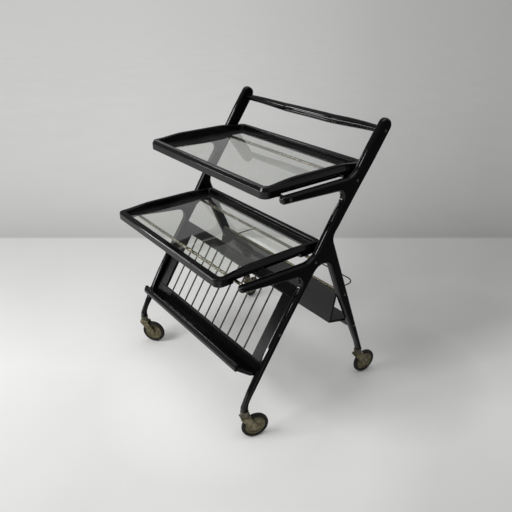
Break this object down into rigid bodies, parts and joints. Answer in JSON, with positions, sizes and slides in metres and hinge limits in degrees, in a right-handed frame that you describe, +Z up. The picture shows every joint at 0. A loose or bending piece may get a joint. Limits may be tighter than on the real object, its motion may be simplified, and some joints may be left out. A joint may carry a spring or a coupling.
{
  "type": "serving trolley",
  "caption": "Black wooden serving trolley on swivel castors: lift-off glass trays on brass rods, a sloping magazine rack with a trough in front, a bottle bin behind and a turned handle bar.",
  "frame": {"origin": "on the floor under the middle of the trolley's box", "axes": "+X towards the side frame nearest the camera in the picture, +Y from the magazine rack to the handle, +Z up"},
  "size_m": [0.585, 0.5317, 0.7603],
  "materials": {
    "black_lacquer": "black stained and lacquered wood with a soft sheen, arrises worn slightly lighter",
    "plug_wood": "bare turned wooden plug, darkened with age",
    "pane": "clear float glass with polished edges",
    "rod_brass": "brass tube with a dull olive patina",
    "rack_rod_brass": "thin brass rod, darkly patinated",
    "screw_brass": "round-headed slotted brass screw, patinated",
    "castor_brass": "pressed brass with a worn olive-grey patina",
    "wheel_brass": "pressed brass disc with turned rings, patinated",
    "socket_metal": "drawn brass cup with a grey worn plating",
    "tyre": "hard dark rubber, scuffed"
  },
  "bodies": {
    "frame": {"bin_front_panel": "black_lacquer", "bin_shelf": "black_lacquer", "bin_shelf_batten": "black_lacquer", "bin_top_strip": "rod_brass", "castor_front_left_socket": "socket_metal", "castor_front_right_socket": "socket_metal", "castor_rear_left_socket": "socket_metal", "castor_rear_right_socket": "socket_metal", "frame_screws_left": "screw_brass", "frame_screws_right": "screw_brass", "gallery_rail": "rod_brass", "handle_bar": "black_lacquer", "rack_bottom_rail": "black_lacquer", "rack_rods": "rack_rod_brass", "rack_stile_left": "black_lacquer", "rack_stile_right": "black_lacquer", "rack_top_rail": "black_lacquer", "rod_plugs": "plug_wood", "side_frame_left": "black_lacquer", "side_frame_right": "black_lacquer", "tray_rod_lower_front": "rod_brass", "tray_rod_lower_rear": "rod_brass", "tray_rod_upper_front": "rod_brass", "tray_rod_upper_rear": "rod_brass", "trough_base": "black_lacquer", "trough_lip": "black_lacquer"},
    "castor_front_left_swivel": {"castor_front_left_axle": "castor_brass", "castor_front_left_fork": "castor_brass", "castor_front_left_stem": "castor_brass"},
    "castor_front_left_wheel": {"castor_front_left_tyre": "tyre", "castor_front_left_wheel_disc": "wheel_brass"},
    "castor_front_right_swivel": {"castor_front_right_axle": "castor_brass", "castor_front_right_fork": "castor_brass", "castor_front_right_stem": "castor_brass"},
    "castor_front_right_wheel": {"castor_front_right_tyre": "tyre", "castor_front_right_wheel_disc": "wheel_brass"},
    "castor_rear_left_swivel": {"castor_rear_left_axle": "castor_brass", "castor_rear_left_fork": "castor_brass", "castor_rear_left_stem": "castor_brass"},
    "castor_rear_left_wheel": {"castor_rear_left_tyre": "tyre", "castor_rear_left_wheel_disc": "wheel_brass"},
    "castor_rear_right_swivel": {"castor_rear_right_axle": "castor_brass", "castor_rear_right_fork": "castor_brass", "castor_rear_right_stem": "castor_brass"},
    "castor_rear_right_wheel": {"castor_rear_right_tyre": "tyre", "castor_rear_right_wheel_disc": "wheel_brass"},
    "lower_tray": {"lower_tray_back_rail": "black_lacquer", "lower_tray_front_rail": "black_lacquer", "lower_tray_glass": "pane", "lower_tray_left_rail": "black_lacquer", "lower_tray_right_rail": "black_lacquer"},
    "upper_tray": {"upper_tray_back_rail": "black_lacquer", "upper_tray_front_rail": "black_lacquer", "upper_tray_glass": "pane", "upper_tray_left_rail": "black_lacquer", "upper_tray_right_rail": "black_lacquer"}
  },
  "joints": [
    {"name": "upper_tray_lift", "type": "slide", "parent": "frame", "child": "upper_tray", "axis": [0, 0, 1], "range_m": [0, 0.16]},
    {"name": "lower_tray_pull", "type": "slide", "parent": "frame", "child": "lower_tray", "axis": [0, -1, 0], "range_m": [0, 0.285]},
    {"name": "castor_front_right_swivel_turn", "type": "hinge", "parent": "frame", "child": "castor_front_right_swivel", "pos_m": [0.269, -0.21315, 0.085], "axis": [0, 0, 1], "continuous": true},
    {"name": "castor_front_right_wheel_spin", "type": "hinge", "parent": "castor_front_right_swivel", "child": "castor_front_right_wheel", "pos_m": [0.27728, -0.1864, 0.0363], "axis": [-0.9553, 0.2957, 0], "continuous": true},
    {"name": "castor_front_left_swivel_turn", "type": "hinge", "parent": "frame", "child": "castor_front_left_swivel", "pos_m": [-0.269, -0.21315, 0.085], "axis": [0, 0, 1], "continuous": true},
    {"name": "castor_front_left_wheel_spin", "type": "hinge", "parent": "castor_front_left_swivel", "child": "castor_front_left_wheel", "pos_m": [-0.24688, -0.19599, 0.0363], "axis": [-0.6129, 0.7902, 0], "continuous": true},
    {"name": "castor_rear_right_swivel_turn", "type": "hinge", "parent": "frame", "child": "castor_rear_right_swivel", "pos_m": [0.269, 0.20185, 0.085], "axis": [0, 0, 1], "continuous": true},
    {"name": "castor_rear_right_wheel_spin", "type": "hinge", "parent": "castor_rear_right_swivel", "child": "castor_rear_right_wheel", "pos_m": [0.27251, 0.22963, 0.0363], "axis": [-0.9921, 0.1253, 0], "continuous": true},
    {"name": "castor_rear_left_swivel_turn", "type": "hinge", "parent": "frame", "child": "castor_rear_left_swivel", "pos_m": [-0.269, 0.20185, 0.085], "axis": [0, 0, 1], "continuous": true},
    {"name": "castor_rear_left_wheel_spin", "type": "hinge", "parent": "castor_rear_left_swivel", "child": "castor_rear_left_wheel", "pos_m": [-0.27728, 0.2286, 0.0363], "axis": [-0.9553, -0.2957, 0], "continuous": true}
  ]
}
